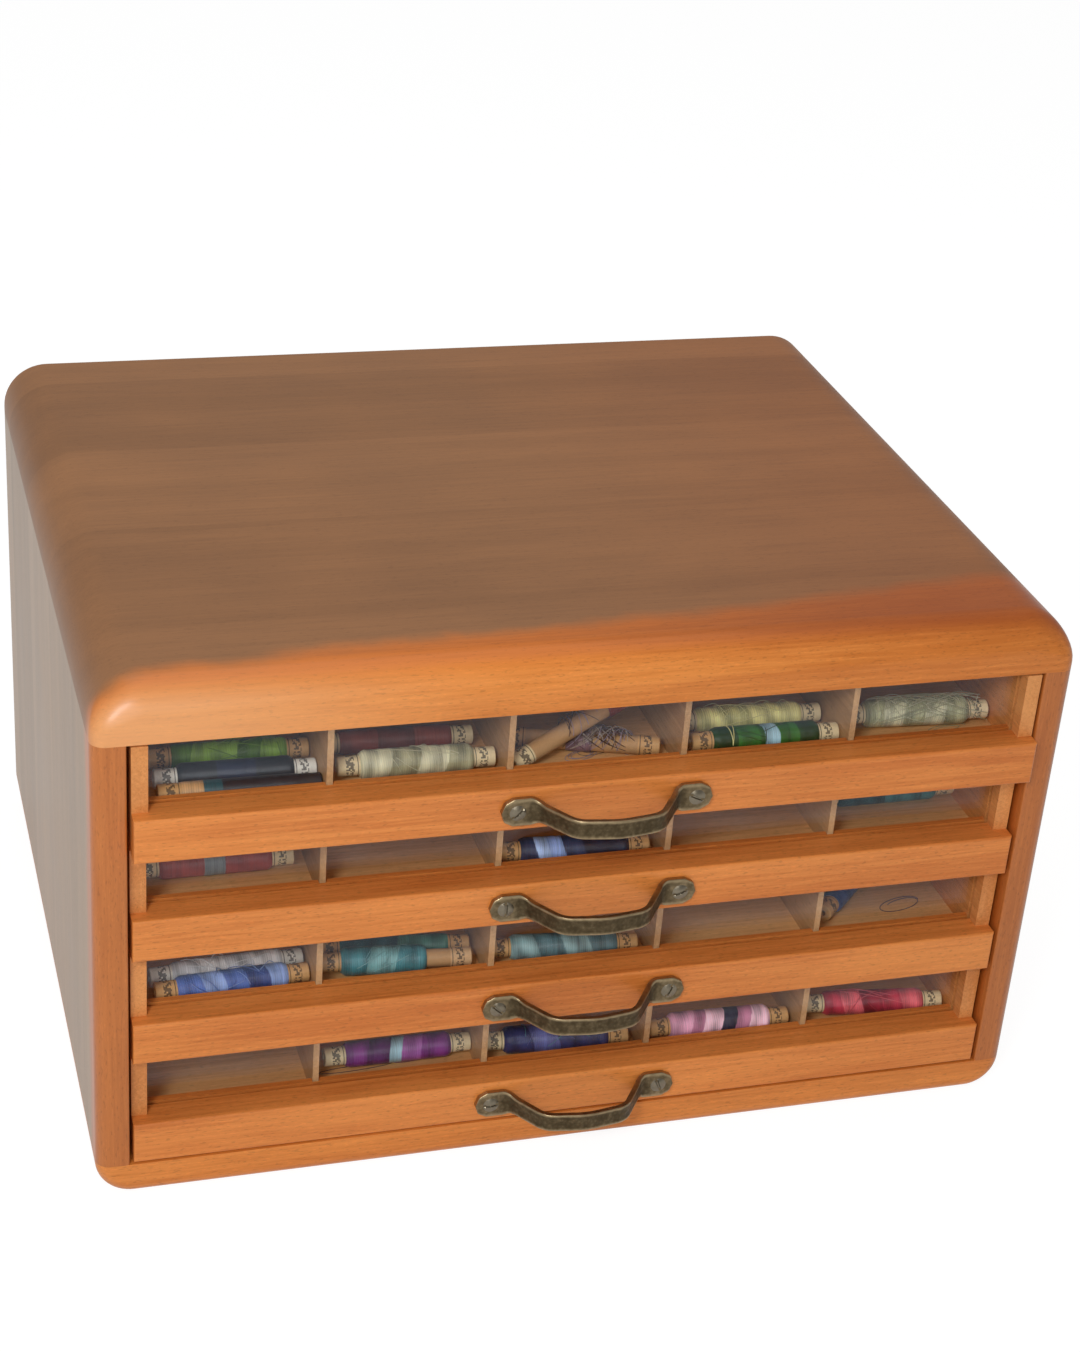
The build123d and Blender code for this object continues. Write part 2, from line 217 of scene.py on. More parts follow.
def beech(name, grain, pale, deep, gloss=0.36, lacquer=0.12, shift=(0, 0, 0), wear_and_glare=None):
    """Lacquered beech. Slow bands and fine streaks run along the grain, with the short dark and
    pale flecks of its rays. The last argument is for a face whose lacquer is dull behind a wavy line,
    from wear and from a painted pale reflection: its colour, how far back the line is, how much it
    slants to the right, how much it waves, and how much a painted sheen lightens the left end. The
    painted reflection thins to the right. The lacquer is a deeper amber just in front of the line, and
    painted darker still to the right as shade."""
    wood = Finish(name, {"Coat Weight": lacquer, "Coat Roughness": 0.2, "Specular IOR Level": 0.3})
    along = np.array([axis == grain for axis in "XYZ"])
    bands = wood.noise(wood.place(np.where(along, 1.2, 17), shift), 2.6, 3, 0.5, 0.4)
    streaks = wood.noise(wood.place(np.where(along, 9, 240), shift), 3, 4, 0.6)
    flecks = wood.noise(wood.place(np.where(along, 150, 620), shift), 2.4, 1)
    patches = wood.noise(wood.place((1, 1, 1), shift), 17, 3)
    tone = wood.between(bands * 0.55 + streaks * 0.45, 0.34, 0.66)
    body = wood.mix(tone, deep, pale)
    dark = wood.between(flecks, 0.60, 0.72)
    light = wood.between(1 - flecks, 0.60, 0.72)
    body = wood.shade(body, 1 - 0.2 * dark + 0.1 * light + 0.2 * (patches - 0.5))
    rough = gloss + 0.16 * (patches - 0.5) + 0.08 * (streaks - 0.5)
    if wear_and_glare:
        dull, line, slant, wave, painted_sheen = wear_and_glare
        own = wood.node("ShaderNodeTexCoord", {}, {}, "Object")
        right = wood.node("ShaderNodeSeparateXYZ", {}, {0: own}, "X")
        back = wood.node("ShaderNodeSeparateXYZ", {}, {0: own}, "Y")
        strip = wood.math("FLOOR", back * (1 / strip_wide) + 0.3)
        strip = wood.node("ShaderNodeTexWhiteNoise", {"noise_dimensions": "1D"}, {"W": strip})
        wavy = wood.noise(wood.place((1, 1, 1)), 16, 4, 0.6) - 0.5
        behind = back - (slant * right + wave * wavy + line)
        # Behind the line the dull colour: worn lacquer under a painted pale reflection.
        mask = wood.between(behind, -5 * mm, 8 * mm)
        deeper = wood.between(back, case_front + 0.5 * mm, case_front + 10 * mm)
        # Painted sheen: the left end of the roll paler, as the light from the left catches it.
        body = wood.mix(painted_sheen * (1 - wood.between(right, -180 * mm, -30 * mm)), body, honey_painted_sheen)
        # Painted shade: the amber darker towards the right, where less light falls.
        amber_shaded = wood.mix(wood.between(right, -60 * mm, 150 * mm), amber, amber_painted_shade)
        body = wood.mix(0.75 * deeper, body, wood.shade(amber_shaded, 0.92 + 0.16 * tone - 0.1 * dark))
        tired = 0.84 + 0.2 * tone + 0.22 * strip + 0.3 * (patches - 0.5) - 0.12 * dark
        # The painted reflection thins towards the right.
        glare_thinning = 0.25 * wood.between(right, -40 * mm, 190 * mm)
        body = wood.mix(mask * (0.96 - glare_thinning), body, wood.shade(dull, tired))
        rough = rough + 0.14 * mask
    wood.feed("Base Color", body)
    wood.feed("Roughness", rough)
    wood.bump(streaks + 0.35 * dark, 0.1, 0.12 * mm)
    return wood.material


honey_pale, honey_deep = colour(228, 142, 66), colour(198, 112, 42)
# A painted sheen colour, the amber in front of the line, and that amber painted darker as shade.
honey_painted_sheen, amber, amber_painted_shade = colour(238, 176, 122), colour(206, 108, 28), colour(162, 72, 10)
# The top's dull colour is worn lacquer under a painted pale reflection, and the left side's is a painted
# pale reflection.
top_patina_and_glare, left_painted_glare, right_patina = colour(154, 108, 70), colour(178, 150, 122), colour(170, 120, 76)
strip_wide = 74 * mm

case_top_beech = beech("case_top_beech", "X", honey_pale, honey_deep,
                       wear_and_glare=(top_patina_and_glare, case_front + 25 * mm, 0.09, 26 * mm, 0.6))
case_bottom_beech = beech("case_bottom_beech", "X", honey_pale, honey_deep, shift=(0.3, 0.1, 0.2))
stile_pale, stile_deep = colour(196, 116, 54), colour(174, 98, 42)
case_left_beech = beech("case_left_beech", "Z", stile_pale, stile_deep, lacquer=0.3,
                        wear_and_glare=(left_painted_glare, case_front + 12 * mm, 0.0, 14 * mm, 0.0))
case_right_beech = beech("case_right_beech", "Z", stile_pale, stile_deep, lacquer=0.3,
                         wear_and_glare=(right_patina, case_front + 12 * mm, 0.0, 14 * mm, 0.0))


def cross_board(seam, outside, corner, front_round):
    """A board across the sides. Its profile runs up one end, round the corner, along and down the
    other end. Each loop of the grid carries a profile point inwards by r (1 - cos t) and forwards
    by r sin t round the front edge, straight back, round the back edge, into the panel's rebate
    and home along the seam. The front radius grows with the profile's slope."""
    tall = abs(outside - seam)
    up = 1 if outside > seam else -1
    half = case_high[0]
    turn = np.linspace(0, math.pi / 2, arc_steps)
    rebate_turn = math.acos((rebate_half - half + corner) / (corner - rear_ease))
    turn = np.sort(np.append(turn, rebate_turn * np.array([0.999, 1.001])))
    across = np.linspace(half - corner - support, 0, 9)
    x = np.concatenate([[half, half], half - corner + corner * np.cos(turn), across])
    high = np.concatenate([[0, (tall - corner) / 2], tall - corner + corner * np.sin(turn),
                           np.full(len(across), tall)])
    out = np.concatenate([[1, 1], np.cos(turn), np.zeros(len(across))])
    lift = np.concatenate([[0, 0], np.sin(turn), np.ones(len(across))])
    x = np.append(x, -x[-2::-1])
    out = np.append(out, -out[-2::-1])
    high = np.append(high, high[-2::-1])
    lift = np.append(lift, lift[-2::-1])
    front = edge_round + (front_round - edge_round) * lift * lift * (3 - 2 * lift)

    def ring(radius, t, y):
        inset = radius * (1 - math.cos(t))
        return np.stack([x - out * inset, np.broadcast_to(y, x.shape), high - lift * inset], -1)

    forwards = [ring(front, t, case_front + front * (1 - math.sin(t)))
                for t in np.linspace(math.pi / 2, 0, 12)]
    stations = [case_front + front_round + support, *np.linspace(-0.1, 0.1, 5),
                case_back - rear_ease - support]
    middle = [ring(front, 0, y) for y in stations]
    backwards = [ring(rear_ease, t, case_back - rear_ease * (1 - math.sin(t)))
                 for t in np.linspace(0, math.pi / 2, 4)]
    rebate = np.where(np.abs(backwards[-1][:, 0]) < rebate_half, min(rebate_up, tall), 0)
    foot = [backwards[-1] * (1, 1, 0) + rebate[:, None] * (0, 0, 1)]
    foot.append(foot[0] * (1, 0, 1) + np.array([0, panel_low[1], 0]))
    foot.append(foot[1] * (1, 1, 0))
    home = [forwards[0] * (1, 1, 0)]
    grid = np.stack(home + forwards + middle + backwards + foot + home)
    grid[..., 2] = seam + up * grid[..., 2]
    return shell(grid)


def side_board(side):
    """A side board. Its outline, seen from above, runs out along the front edge, back along the
    outer face, into the panel's rebate and forwards along the inner face, and is carried up from
    seam to seam. The inner face steps outwards where the runners are let in."""
    thick = case_high[0] - opening_half
    quarter = np.linspace(0, math.pi / 2, 9)
    ease, soft, rear = opening_ease, edge_round, rear_ease
    groove_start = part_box("drawer_1_runners")[0].y - joint_play
    groove_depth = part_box("drawer_1_runners")[1].x - opening_half + joint_play
    inner = panel_low[1]
    out = np.concatenate([ease - ease * np.cos(quarter), thick - soft + soft * np.sin(quarter),
                          thick - rear + rear * np.cos(quarter),
                          [rebate_half - opening_half] * 2, [0, 0, 0, 0, 0]])
    y = np.concatenate([case_front + ease - ease * np.sin(quarter),
                        case_front + soft - soft * np.cos(quarter),
                        case_back - rear + rear * np.sin(quarter),
                        [case_back, inner, inner, inner, groove_start, groove_start, case_front + ease]])
    grooved = np.zeros(len(out))
    grooved[-4:-2] = 1
    runners = sorted(tuple(corner.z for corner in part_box(f"drawer_{n}_runners")) for n in range(1, 5))
    heights, inside = [seam_bottom], [0]
    for low, high in runners:
        heights += [low, low, high, high]
        inside += [0, 1, 1, 0]
    heights.append(seam_top)
    inside.append(0)
    step = np.array(inside)[:, None] * grooved * groove_depth
    grid = np.empty((len(heights), len(out), 3))
    grid[..., 0] = side * (opening_half + out + step)
    grid[..., 1] = y
    grid[..., 2] = np.array(heights)[:, None]
    return shell(grid, capped=True)


top_shell = cross_board(seam_top, case_high[2], corner_top, roll)
bottom_shell = cross_board(seam_bottom, 0.0, corner_bottom, edge_round)
piece("case_top", [top_shell], "case", case_top_beech, ["top_board"])
piece("case_bottom", [bottom_shell], "case", case_bottom_beech, ["bottom_board"])
piece("case_left", [side_board(-1)], "case", case_left_beech, ["left_side"])
piece("case_right", [side_board(1)], "case", case_right_beech, ["right_side"])

# ---------------------------------------------------------------------------- dowels and runners
# Beech dowels join the boards, hidden in blind holes. The runners are plain beech strips glued
# into housings in the sides, polished by the drawers that slide on them.
bare_beech = beech("bare_beech", "Y", colour(214, 176, 130), colour(186, 142, 96), 0.5, 0.0)


def dress(name, material):
    """Gives a CAD node, which keeps its own mesh, its material."""
    nodes[name].data.materials.clear()
    nodes[name].data.materials.append(material)


dress("case_dowels", bare_beech)
for number in range(1, 5):
    dress(f"drawer_{number}_runners", bare_beech)

# ---------------------------------------------------------------------------- back panel
# A plywood panel in the rebate, held by slotted steel screws with low domed heads. Its face
# veneer has a wide, wavy figure, and it was never lacquered.
plywood = beech("plywood", "X", colour(188, 144, 98), colour(162, 118, 76), 0.55, 0.0)
dress("back_panel", plywood)

screw_turns = 40
slot_half = 0.35 * mm
slot_deep = 0.6 * mm


def screw_head(centre, outwards, sideways, radius, rise, turn):
    """A domed head as a grid of rings: a point at share s of the radius stands rise (1 - s^2) out
    of the face, sunk where it lies inside the slot. The last ring goes in and closes behind."""
    share = np.concatenate([np.linspace(0, 1, 15), [1, 0]])[:, None]
    angle = np.linspace(0, 2 * math.pi, screw_turns + 1)
    across = share * radius * np.sin(angle)
    height = rise * (1 - share**2) * np.ones_like(angle)
    height -= slot_deep * (1 - np.clip((np.abs(across) - slot_half) / (0.12 * mm), 0, 1)) * (share < 0.97)
    height[-2:] = -2 * slot_deep
    along = share * radius * np.cos(angle)
    first = np.cos(turn) * sideways + np.sin(turn) * np.cross(outwards, sideways)
    second = np.cross(outwards, first)
    return shell(centre + along[..., None] * first + across[..., None] * second
                 + height[..., None] * outwards)


def metal(name, low, high, rough, pebble, relief):
    """Aged metal, as bright as its tint says: dark in its hollows, and painted bright where its tint
    is high, as a highlight on a handle's rims. Pebble is the size of the cast cells of its skin, and
    relief how deep they are."""
    aged = Finish(name, {"Metallic": 1.0})
    cells = aged.node("ShaderNodeTexVoronoi", {"feature": "SMOOTH_F1"},
                      {"Vector": aged.place(), "Scale": 1 / pebble, "Smoothness": 0.8})
    grime = aged.noise(aged.place(), 300, 4, 0.65)
    painted_sheen = aged.node("ShaderNodeAttribute", {"attribute_name": "tint"}, {}, "Fac")
    bright = aged.between(painted_sheen + 0.9 * (grime - 0.5) - 0.25 * cells, -0.15, 1.05)
    aged.feed("Base Color", aged.mix(bright, low, high))
    aged.feed("Roughness", rough + 0.2 * (1 - bright) + 0.2 * (grime - 0.5))
    aged.bump(1 - cells + 0.4 * grime, relief, 0.12 * pebble)
    return aged.material


steel = metal("dull_steel", colour(96, 92, 86), colour(168, 164, 156), 0.4, 1.6 * mm, 0.2)


def solids(name):
    """The separate solids of a CAD node, each as its points. Points that share an edge take the
    lowest label among them, over and over, until no label changes."""
    mesh = nodes[name].data
    points = np.empty(len(mesh.vertices) * 3)
    mesh.vertices.foreach_get("co", points)
    ends = np.empty(len(mesh.edges) * 2, int)
    mesh.edges.foreach_get("vertices", ends)
    points, same = np.unique(np.round(points.reshape(-1, 3), 6), axis=0, return_inverse=True)
    first, second = same.ravel()[ends.reshape(-1, 2)].T
    label = np.arange(len(points))
    while True:
        lowest = label.copy()
        np.minimum.at(lowest, first, label[second])
        np.minimum.at(lowest, second, label[first])
        if np.array_equal(lowest, label):
            return [points[label == which] for which in np.unique(label)]
        label = lowest


panel_face = panel_high[1]
forward, rightward, upward = np.array([0.0, 1, 0]), np.array([1.0, 0, 0]), np.array([0.0, 0, 1])
heads = []
for index, solid in enumerate(solids("back_panel_screws")):
    low, high = solid.min(0), solid.max(0)
    centre = np.array([(low[0] + high[0]) / 2, panel_face, (low[2] + high[2]) / 2])
    radius, rise = (high[0] - low[0]) / 2, high[1] - panel_face
    heads.append(screw_head(centre, forward, rightward, radius, rise, 0.7 * index))
piece("back_screw_heads", heads, "case", steel, ["back_panel_screws"])

# ---------------------------------------------------------------------------- drawer boards
# Each drawer is a rebated beech rail in front, thin beech sides, a back and a plywood bottom, with
# four plain dividers. The rail is lacquered like the case, and the inside is bare, its back painted
# darker as shade.
rail_beech = beech("rail_beech", "X", colour(228, 142, 70), colour(198, 110, 46), 0.36)
drawer_side_beech = beech("drawer_side_beech", "Y", colour(224, 152, 88), colour(198, 124, 64), 0.45, 0.1)
# The back's colour is painted shade, darker than the bare beech elsewhere.
drawer_back_beech_painted_shade = beech("drawer_back_beech_painted_shade", "X", colour(132, 106, 82), colour(108, 82, 60), 0.5, 0.0)
drawer_bottom = beech("drawer_bottom", "X", colour(236, 188, 130), colour(212, 158, 102), 0.55, 0.0)
divider_board = beech("divider_board", "Y", colour(206, 166, 120), colour(178, 137, 94), 0.55, 0.0)
for number in range(1, 5):
    drawer = f"drawer_{number}"
    dress(f"{drawer}_front_rail", rail_beech)
    dress(f"{drawer}_left_side", drawer_side_beech)
    dress(f"{drawer}_right_side", drawer_side_beech)
    dress(f"{drawer}_back", drawer_back_beech_painted_shade)
    dress(f"{drawer}_floor", drawer_bottom)
    dress(f"{drawer}_dividers", divider_board)

# ---------------------------------------------------------------------------- glass
# A pane of clear window glass stands in grooves behind each rail. Either face mirrors
# m + (1 - m) (1 - cos a)^5 of the light at an angle a, m being the share it mirrors head on, lets
# the rest through, and has faint smears.
head_on = 0.04
glass = Finish("window_glass", {"Metallic": 1.0, "Base Color": colour(214, 228, 242), "Roughness": 0.03})
facing = glass.node("ShaderNodeLayerWeight", {}, {"Blend": 0.5}, "Facing")
mirrored = head_on + (1 - head_on) * glass.math("POWER", facing, 5.0)
smears = glass.noise(glass.place((1, 1, 2)), 60, 4, 0.7)
glass.feed("Alpha", 0.55 * mirrored + 0.012 * glass.between(smears, 0.45, 0.8))
for number in range(1, 5):
    dress(f"drawer_{number}_glass", glass.material)

# ---------------------------------------------------------------------------- bow handles
# A cast brass bar, darkened with age, bent out from the rail in one bow: two pointed screw plates,
# a neck that narrows, and a pebbled grip with a raised rim along both edges.
plate_half = 41.2 * mm
plate_tall = 11.6 * mm
band_tall = 7.7 * mm
bar_thick = 2.4 * mm
bar_step = 0.55 * mm
neck_wide, neck_narrow = 30.0 * mm, 24.5 * mm
bar_corners = np.array([(-41.2, 1.2), (-27.5, 1.2), (-16.5, 16.8), (0, 19.3), (16.5, 16.8), (27.5, 1.2),
                        (41.2, 1.2)]) * mm
bar_bends = np.array([5, 9, 32, 9, 5]) * mm
plate_point = np.array([(4.6, 1), (1.2, 0.67), (0, 0.04)])
rim_wide = 0.9 * mm
rim_deep = 0.3 * mm
bar_section = 72


def bent_line(corners, bends, spacing):
    """A line in plan with its corners rounded by arcs that touch both runs, sampled evenly."""
    parts = [corners[:1]]
    for before, corner, after, radius in zip(corners, corners[1:], corners[2:], bends):
        back = (before - corner) / np.linalg.norm(before - corner)
        on = (after - corner) / np.linalg.norm(after - corner)
        half = math.acos(back @ on) / 2
        centre = corner + (back + on) / np.linalg.norm(back + on) * radius / math.sin(half)
        start, end = corner + back * radius / math.tan(half), corner + on * radius / math.tan(half)
        swing = math.pi - 2 * half
        share = np.linspace(0, 1, 25)[:, None]
        parts.append(centre + (np.sin((1 - share) * swing) * (start - centre)
                               + np.sin(share * swing) * (end - centre)) / math.sin(swing))
    parts.append(corners[-1:])
    line = np.vstack(parts)
    length = np.append(0, np.cumsum(np.linalg.norm(np.diff(line, axis=0), axis=1)))
    even = np.linspace(0, length[-1], int(length[-1] / spacing))
    return np.stack([np.interp(even, length, line[:, axis]) for axis in (0, 1)], -1), even


def bow(middle):
    """The handle as rings along its bent line. A ring is a rounded rectangle, |a|^8 + |b|^8 = 1,
    a across the bar's thickness and b up its height, which falls to a point as plate_point says,
    by mm from the end. The outer face is sunk inside its rim."""
    line, along = bent_line(bar_corners, bar_bends, bar_step)
    heading = np.gradient(line, axis=0)
    heading /= np.linalg.norm(heading, axis=1)[:, None]
    away = np.stack([-heading[:, 1], heading[:, 0]], -1)
    across = np.abs(line[:, 0])
    slope = np.clip((across - neck_narrow) / (neck_wide - neck_narrow), 0, 1)
    tall = band_tall + (plate_tall - band_tall) * slope * slope * (3 - 2 * slope)
    tall *= np.interp(across, plate_half - plate_point[:, 0] * mm, plate_point[:, 1])
    angle = np.linspace(0, 2 * math.pi, bar_section + 1)
    power = (np.abs(np.cos(angle)) ** 8 + np.abs(np.sin(angle)) ** 8) ** (-1 / 8)
    a, b = power * np.cos(angle), power * np.sin(angle)
    from_edge = (1 - np.abs(b)) * tall[:, None] / 2
    sunk = np.clip((from_edge - rim_wide) / (0.5 * mm), 0, 1) * (a > 0.5)
    grip = np.clip((neck_wide + 2 * mm - across) / (3 * mm), 0, 1)[:, None]
    cast = np.sin(along[:, None] / (0.62 * mm) + 2.1 * np.sin(b * 5.3 + along[:, None] / (1.9 * mm)))
    out = a * bar_thick / 2 - sunk * grip * (rim_deep + 0.06 * mm * cast)
    grid = np.empty((len(line), len(angle), 3))
    grid[..., 0] = line[:, :1] + away[:, :1] * out
    grid[..., 1] = -(line[:, 1:] + away[:, 1:] * out)
    grid[..., 2] = b * tall[:, None] / 2
    # Painted highlight: the rims lighter, as where light catches them, and the sunk field of the grip
    # darker.
    painted_sheen = 0.42 + 0.5 * np.clip((np.abs(b) - 0.7) / 0.25, 0, 1) - 0.25 * sunk * grip
    return shell(grid + middle, None, painted_sheen[..., None] * np.ones(4), capped=True)


antique = metal("antique_brass", colour(78, 66, 47), colour(172, 152, 118), 0.34, 1.3 * mm, 0.35)
screw_metal = metal("antique_screw", colour(58, 54, 48), colour(132, 123, 106), 0.3, 1.8 * mm, 0.15)
screw_dome = 0.9 * mm
for number in range(1, 5):
    drawer = f"drawer_{number}"
    rail_low, rail_high = (np.array(corner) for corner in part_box(f"{drawer}_front_rail"))
    middle = np.array([0, rail_low[1], (rail_low[2] + rail_high[2]) / 2])
    piece(f"{drawer}_bow_handle", [bow(middle)], drawer, antique, [f"{drawer}_handle"], 40)
    heads = []
    for index, solid in enumerate(solids(f"{drawer}_handle_screws")):
        low, high = solid.min(0), solid.max(0)
        centre = np.array([(low[0] + high[0]) / 2, rail_low[1] - bar_thick, middle[2]])
        heads.append(screw_head(centre, -forward, rightward, (high[0] - low[0]) / 2, screw_dome,
                                1.9 * index + 0.8 * number))
    piece(f"{drawer}_bow_screws", heads, drawer, screw_metal, [f"{drawer}_handle_screws"])

# ---------------------------------------------------------------------------- spools
# A spool is a card tube with a paper label round each end. The thread is wound between the labels
# from one side to the other, in turns that lie a little slanted, and the last turns are loose.
core_radius = 3.8 * mm
tube_radius = 3.62 * mm
bore_radius = 1.3 * mm
bore_deep = 5 * mm
label_long = 8.5 * mm
divider_pitch = 68.4 * mm
drawer_side_thick = 6 * mm
spool_turns = 36
windings_long = 200
thread_pitch = 0.85 * mm
taper_long = 2.2 * mm
weave_wide = 1.7 * mm
swells_long = np.array([5.3, 8.9, 3.1]) * mm
satin_sheen_long = 8.4 * mm

cream, white = colour(226, 208, 164), colour(226, 224, 212)
tan, cork = colour(204, 160, 104), colour(206, 170, 126)
bare_card = colour(190, 150, 104)


def spool_tube(axis, left, right):
    """A card tube turned about its axis, from bore to end to label to bare card and back. The
    wrap is the distance along the tube and the share of a turn round it."""
    middle, heading, side, over, half = axis
    bore = half - bore_deep
    x = np.array([-bore, -bore, -half + 0.1 * mm, -half, -half, -half + 0.3 * mm, -half + label_long,
                  -half + label_long, 0])
    r = np.array([0, bore_radius, bore_radius, bore_radius + 0.1 * mm, core_radius - 0.3 * mm, core_radius,
                  core_radius, tube_radius, tube_radius])
    x = np.append(x, -x[-2::-1])
    r = np.append(r, r[-2::-1])
    angle = np.linspace(0, 2 * math.pi, spool_turns + 1)
    ring = np.cos(angle)[:, None] * side + np.sin(angle)[:, None] * over
    grid = middle + x[:, None, None] * heading + r[:, None, None] * ring
    share = np.broadcast_to(angle / (2 * math.pi), grid.shape[:2])
    wrap = np.stack([np.broadcast_to((x / mm)[:, None], share.shape), share], -1)
    tint = np.empty((len(x), len(angle), 4))
    tint[:] = bare_card
    tint[:7] = left
    tint[-7:] = right
    return shell(grid, wrap, tint)


def winding(axis, span, thick, bands, slant, rough, seed, fuller=0.0):
    """Thread wound on a tube. The surface is r(x, a) = core + (thick + fuller (1 + sin a) / 2) e(x)
    less shallow grooves: e rises at both ends and swells in slow bundles, and the grooves between
    turns follow sin(2 pi x / pitch + slant a), with the slant turned round in every other band. A
    satin winding has a slant above 1, and its bands end along x + weave sin(a). Its tint has shade
    painted into the grooves, and on a satin winding a painted sheen in slanted bright and dark zones."""
    middle, heading, side, over, _ = axis
    random = np.random.default_rng(seed)
    low, high = span
    x = np.linspace(low, high, windings_long)
    angle = np.linspace(0, 2 * math.pi, spool_turns + 1)
    inside = np.clip(np.minimum(x - low, high - x) / taper_long, 0, 1)
    rise = 0.35 + 0.65 * np.sin(inside * math.pi / 2)
    swell = sum(np.sin(2 * math.pi * x / length + phase) for length, phase in
                zip(swells_long, random.uniform(0, 6, 3))) / 3
    weave = weave_wide * np.sin(angle + seed) * (slant > 1)
    edges = np.array([edge for edge, _ in bands[1:]]) * mm
    which = np.searchsorted(edges, (x - low)[:, None] + weave)
    shades = np.array([shade[:3] for _, shade in bands])[which]
    lean = np.where(which % 2 == 0, 1, -1) * slant
    turns = 2 * math.pi * x[:, None] / thread_pitch + lean * angle
    wander = 1.3 * np.sin(angle * 2 + x[:, None] / (3.7 * mm) + seed)
    groove = (1 - np.abs(np.sin((turns + wander) / 2))) ** 2
    deep = thick + fuller * (1 + np.sin(angle)) / 2
    radius = core_radius + deep * rise[:, None] * (0.955 + 0.045 * swell[:, None]) - rough * groove
    radius = np.maximum(radius, core_radius + 0.06 * mm)
    ring = np.cos(angle)[:, None] * side + np.sin(angle)[:, None] * over
    outer = middle + x[:, None, None] * heading + radius[..., None] * ring
    inner = middle + x[::-1, None, None] * heading + (core_radius + 0.02 * mm) * ring
    grid = np.concatenate([outer, inner[[0, -1]], outer[:1]])
    streak = random.normal(0, 1, windings_long)
    streak = np.convolve(streak, np.ones(3) / 3, "same")
    # Painted shade in the grooves between turns, and on a satin winding a painted sheen in bright and dark
    # slanted zones; the streaks are the thread's own tone.
    light = 1 + 0.13 * streak[:, None] - 0.30 * groove + 0.10 * np.sin(angle * 3 + x[:, None] / (2.3 * mm))
    if slant > 1:
        light += 0.22 * np.sin(2 * math.pi * x[:, None] / satin_sheen_long + 1.6 * np.sin(angle + seed))
    tint = np.ones((*radius.shape, 4))
    tint[..., :3] = shades * np.clip(light, 0.4, 1.6)[..., None]
    tint = np.concatenate([tint, tint[[-1, 0]], tint[:1]])
    share = np.ones((len(x), 1)) * angle / (2 * math.pi)
    wrap = np.stack([(x / mm)[:, None] * np.ones_like(angle), share], -1)
    wrap = np.concatenate([wrap, wrap[[-1, 0]], wrap[:1]])
    return shell(grid, wrap, tint)


def strand(line, shade, radius=0.13 * mm):
    """A loose thread: a five-sided tube along points, its rings set square to the path."""
    heading = np.gradient(line, axis=0)
    heading /= np.linalg.norm(heading, axis=1)[:, None]
    side = np.cross(heading, upward + 0.3 * rightward)
    side /= np.linalg.norm(side, axis=1)[:, None]
    over = np.cross(heading, side)
    angle = np.linspace(0, 2 * math.pi, 6)
    ring = np.cos(angle)[:, None] * side[:, None] + np.sin(angle)[:, None] * over[:, None]
    tint = np.ones((len(line), 6, 4)) * shade
    return shell(line[:, None] + radius * ring, None, tint, capped=True)


def strays(axis, thick, shades, count, start, spread, sweep, lift, seed):
    """Threads that lie loose over a winding. Along each, the place x and the angle a run straight
    from one end to the other, and the distance from the tube's axis is
    core + thick + lift sin(pi s) max(sin a, 0), so that it rises only over the top."""
    middle, heading, side, over, _ = axis
    random = np.random.default_rng(seed)
    share = np.linspace(0, 1, 30)
    made = []
    for index in range(count):
        from_x, to_x = start + spread * random.uniform(-1, 1, 2)
        from_angle = random.uniform(-0.4, 1.4)
        angle = from_angle + sweep * random.uniform(0.5, 1) * share
        rise = lift * random.uniform(0.3, 1) * np.sin(math.pi * share) * np.maximum(np.sin(angle), 0)
        x = from_x + (to_x - from_x) * share + 0.25 * lift * np.sin(5 * share + index)
        away = core_radius + thick + 0.05 * mm + rise
        line = middle + x[:, None] * heading + away[:, None] * (np.cos(angle)[:, None] * side
                                                                + np.sin(angle)[:, None] * over)
        made.append(strand(line, shades[index % len(shades)]))
    return made


def hanging(axis, thick, start, shade):
    """A slack thread that hangs over the front of a winding: its angle is 1.8 - 1.7 sin(pi s), from
    the top down to the front and up again beside itself."""
    middle, heading, side, over, _ = axis
    share = np.linspace(0, 1, 40)
    angle = 1.8 - 1.7 * np.sin(math.pi * share)
    x = start + (2.2 * share + 0.3 * np.sin(7 * share)) * mm
    away = core_radius + thick + (0.15 + 0.5 * np.sin(math.pi * share)) * mm
    ring = np.cos(angle)[:, None] * side + np.sin(angle)[:, None] * over
    return strand(middle + x[:, None] * heading + away[:, None] * ring, shade, 0.17 * mm)


def floor_loop(centre, wide, deep, turns, shade, seed):
    """A slack end of thread in loops on the drawer floor: x and y go round an ellipse whose size
    drifts from turn to turn, and z climbs a little where it crosses itself."""
    random = np.random.default_rng(seed)
    angle = np.linspace(0, 2 * math.pi * turns, int(40 * turns))
    size = 0.8 + 0.2 * np.sin(angle * 0.37 + random.uniform(0, 6))
    line = np.stack([wide * size * np.cos(angle), deep * size * np.sin(angle + 0.5),
                     0.2 * mm + 0.15 * mm * (1 + np.sin(angle * 0.5))], -1)
    return strand(centre + line, shade)


def spool_axis(points):
    """Middle, heading, two directions square to it, and half the length of a turned solid."""
    middle = (points.min(0) + points.max(0)) / 2
    heading = np.linalg.svd(points - points.mean(0), full_matrices=False)[2][0]
    heading *= np.sign(heading[0])
    side = np.cross(heading, upward)
    side /= np.linalg.norm(side)
    over = np.cross(side, heading)
    return middle, heading, side, over, np.abs((points - middle) @ heading).max()


# Shades of the threads, by what lies where: drawer, compartment from the left, and from the glass
# backwards. Bands are (where it starts in mm, shade), then come the shades of the left and right
# label, the slant of the turns, and how coarse they are in mm. Where a winding's bands take turns
# between pale, glint and deep shades of one dye, these are a painted sheen and painted shade of
# its slanted turns.
def even_bands(*shades, width=43.0):
    """The same share of the winding's width for each shade."""
    return [(width * i / len(shades), shade) for i, shade in enumerate(shades)]


